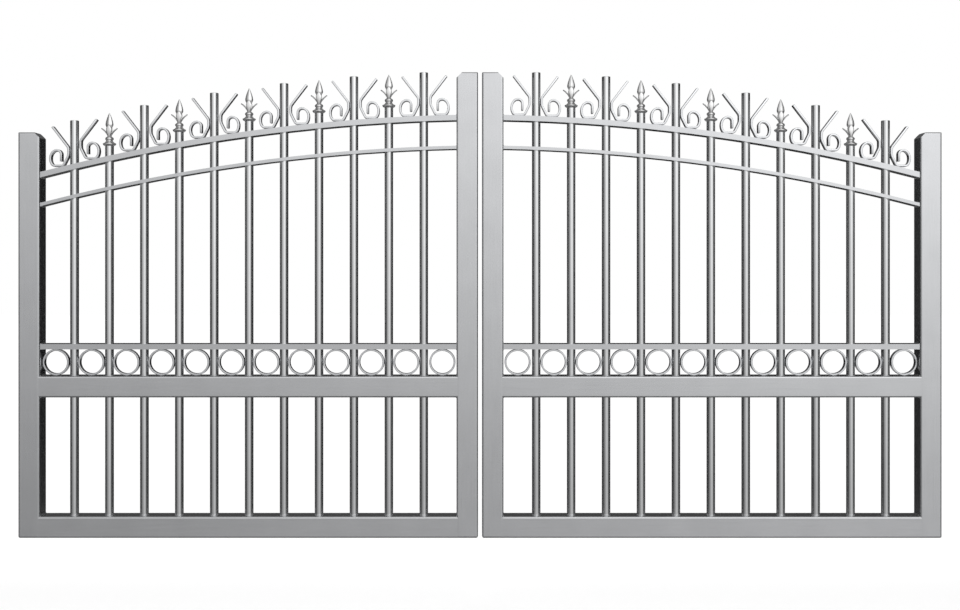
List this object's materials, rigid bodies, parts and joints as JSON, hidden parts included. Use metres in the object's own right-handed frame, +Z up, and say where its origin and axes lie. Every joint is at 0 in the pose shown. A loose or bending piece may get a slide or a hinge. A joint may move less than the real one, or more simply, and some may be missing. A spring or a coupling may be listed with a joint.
{
  "type": "aluminium swing gate",
  "caption": "Double-leaf aluminium driveway gate with an arched top, round bars, spear heads, scrolls and a band of rings; both leaves swing inwards on bolted hinge brackets.",
  "frame": {"origin": "centre of the left lower bracket's bolted face", "axes": "+X along the closed gate from the left bracket to the right one, +Y towards the back, the way the leaves open, +Z up"},
  "size_m": [3.479, 0.165, 1.7379],
  "materials": {
    "frame_tube": "satin",
    "flat_rails": "satin",
    "round_bars": "satin",
    "bent_flat_bar": "satin",
    "cast_spears": "fine cast",
    "hinges": "satin zinc"
  },
  "bodies": {
    "hinge_brackets": {"left_lower_bracket": "hinges", "left_upper_bracket": "hinges", "right_lower_bracket": "hinges", "right_upper_bracket": "hinges"},
    "left_leaf": {"left_hinge_stile": "frame_tube", "left_meeting_stile": "frame_tube", "left_bottom_rail": "frame_tube", "left_middle_rail": "frame_tube", "left_ring_rail": "flat_rails", "left_top_arch": "flat_rails", "left_lower_arch": "flat_rails", "left_plain_bars": "round_bars", "left_spear_bars": "round_bars", "left_spear_heads": "cast_spears", "left_scrolls": "bent_flat_bar", "left_rings": "bent_flat_bar", "left_lower_eye": "hinges", "left_upper_eye": "hinges"},
    "right_leaf": {"right_hinge_stile": "frame_tube", "right_meeting_stile": "frame_tube", "right_bottom_rail": "frame_tube", "right_middle_rail": "frame_tube", "right_ring_rail": "flat_rails", "right_top_arch": "flat_rails", "right_lower_arch": "flat_rails", "right_plain_bars": "round_bars", "right_spear_bars": "round_bars", "right_spear_heads": "cast_spears", "right_scrolls": "bent_flat_bar", "right_rings": "bent_flat_bar", "right_lower_eye": "hinges", "right_upper_eye": "hinges"}
  },
  "joints": [
    {"name": "left_leaf_swing", "type": "hinge", "parent": "hinge_brackets", "child": "left_leaf", "pos_m": [0.028, -0.021, 0], "axis": [0, 0, 1], "range_deg": [0, 90]},
    {"name": "right_leaf_swing", "type": "hinge", "parent": "hinge_brackets", "child": "right_leaf", "pos_m": [3.451, -0.021, 0], "axis": [0, 0, -1], "range_deg": [0, 90]}
  ]
}
